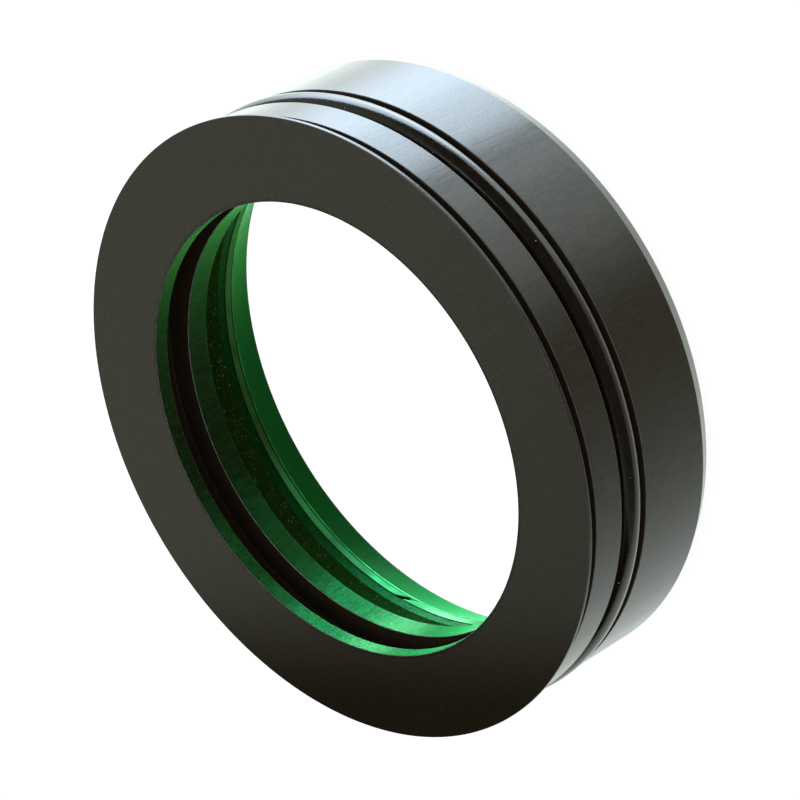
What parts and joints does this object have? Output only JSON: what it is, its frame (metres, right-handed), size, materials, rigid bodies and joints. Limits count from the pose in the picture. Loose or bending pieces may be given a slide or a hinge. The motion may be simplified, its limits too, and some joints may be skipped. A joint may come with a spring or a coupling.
{
  "type": "colour filter",
  "caption": "Green glass disc held in a black turned ring with a thin front lip, an outer seal ring, an empty inner groove, a flared rear mouth and a split retaining wire.",
  "frame": {"origin": "centre of the ring's flat rear face, on the ring's axis", "axes": "+Z along the ring's axis, out of the lipped front face; X and Y lie in the rear face"},
  "size_m": [0.05, 0.05, 0.0148],
  "materials": {
    "black_anodised_aluminium": "fine turned, black anodised, satin",
    "seal_rubber": "smooth black rubber, slightly glossy",
    "gasket_rubber": "dull black rubber with dust",
    "green_glass": "polished, coloured green in the mass",
    "spring_wire": "drawn bright"
  },
  "bodies": {
    "root": {"mount_ring": "black_anodised_aluminium", "seal_ring": "seal_rubber", "gasket_ring": "gasket_rubber", "filter_glass": "green_glass", "retaining_wire": "spring_wire"}
  },
  "joints": []
}
